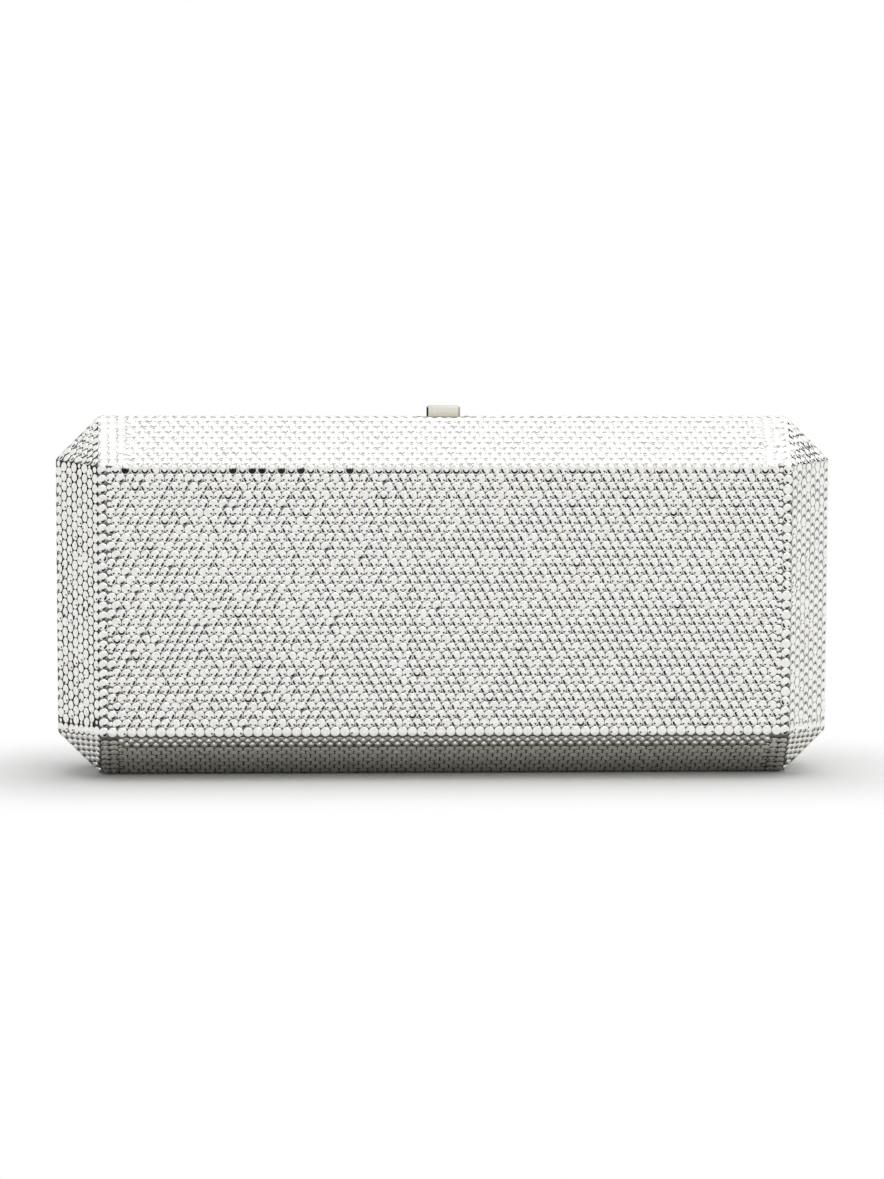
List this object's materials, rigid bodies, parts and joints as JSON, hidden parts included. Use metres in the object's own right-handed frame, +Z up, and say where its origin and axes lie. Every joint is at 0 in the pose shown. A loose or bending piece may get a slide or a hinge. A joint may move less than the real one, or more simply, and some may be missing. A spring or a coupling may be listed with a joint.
{
  "type": "box clutch bag",
  "caption": "Slim hard-shell evening clutch with bevelled faces set all over with small round crystals, bottom hinge and a sliding top clasp.",
  "frame": {"origin": "middle of the base on the seam plane, level with the lowest stones", "axes": "+X to the right along the width as seen from the front, +Y to the rear through the depth, +Z up from the hinge to the clasp"},
  "size_m": [0.19, 0.037, 0.0906],
  "materials": {
    "crystal": "clear round cut crystals with silver foiled backs, closely set",
    "plated_metal": "bright plated metal with a slightly warm silver tone",
    "shell_sheet": "pressed brass sheet, silver plated, hidden under the stones",
    "lining": "silver metallic leather, fine grain",
    "steel": "plain steel of the springs, slide bar, housing, pin and fasteners"
  },
  "bodies": {
    "rear_half": {"rear_shell": "shell_sheet", "rear_frame": "plated_metal", "rear_lining": "lining", "rear_band_stones": "crystal", "rear_face_stones": "crystal", "rear_top_stones": "crystal", "rear_bottom_stones": "crystal", "rear_left_stones": "crystal", "rear_right_stones": "crystal", "rear_corner_top_left_stones": "crystal", "rear_corner_top_right_stones": "crystal", "rear_corner_bottom_left_stones": "crystal", "rear_corner_bottom_right_stones": "crystal", "rear_hinge_leaf": "plated_metal", "hinge_pin": "steel", "clasp_housing": "steel", "housing_screw_left": "steel", "housing_screw_right": "steel", "return_spring": "steel"},
    "front_half": {"front_shell": "shell_sheet", "front_frame": "plated_metal", "front_lining": "lining", "front_band_stones": "crystal", "front_face_stones": "crystal", "front_top_stones": "crystal", "front_bottom_stones": "crystal", "front_left_stones": "crystal", "front_right_stones": "crystal", "front_corner_top_left_stones": "crystal", "front_corner_top_right_stones": "crystal", "front_corner_bottom_left_stones": "crystal", "front_corner_bottom_right_stones": "crystal", "front_hinge_leaf": "plated_metal", "catch_block": "plated_metal", "catch_spring": "steel", "catch_rivet_left": "steel", "catch_rivet_right": "steel"},
    "slider": {"thumb_tab": "plated_metal", "slide_bar": "steel"}
  },
  "joints": [
    {"name": "lid_hinge", "type": "hinge", "parent": "rear_half", "child": "front_half", "pos_m": [0, 0, 0.00145], "axis": [1, 0, 0], "range_deg": [0, 90], "deforming": ["catch_spring"]},
    {"name": "clasp_slide", "type": "slide", "parent": "rear_half", "child": "slider", "axis": [1, 0, 0], "range_m": [0, 0.0025], "stiffness_N_per_m": 400, "springref_m": -0.002, "deforming": ["return_spring"]}
  ]
}
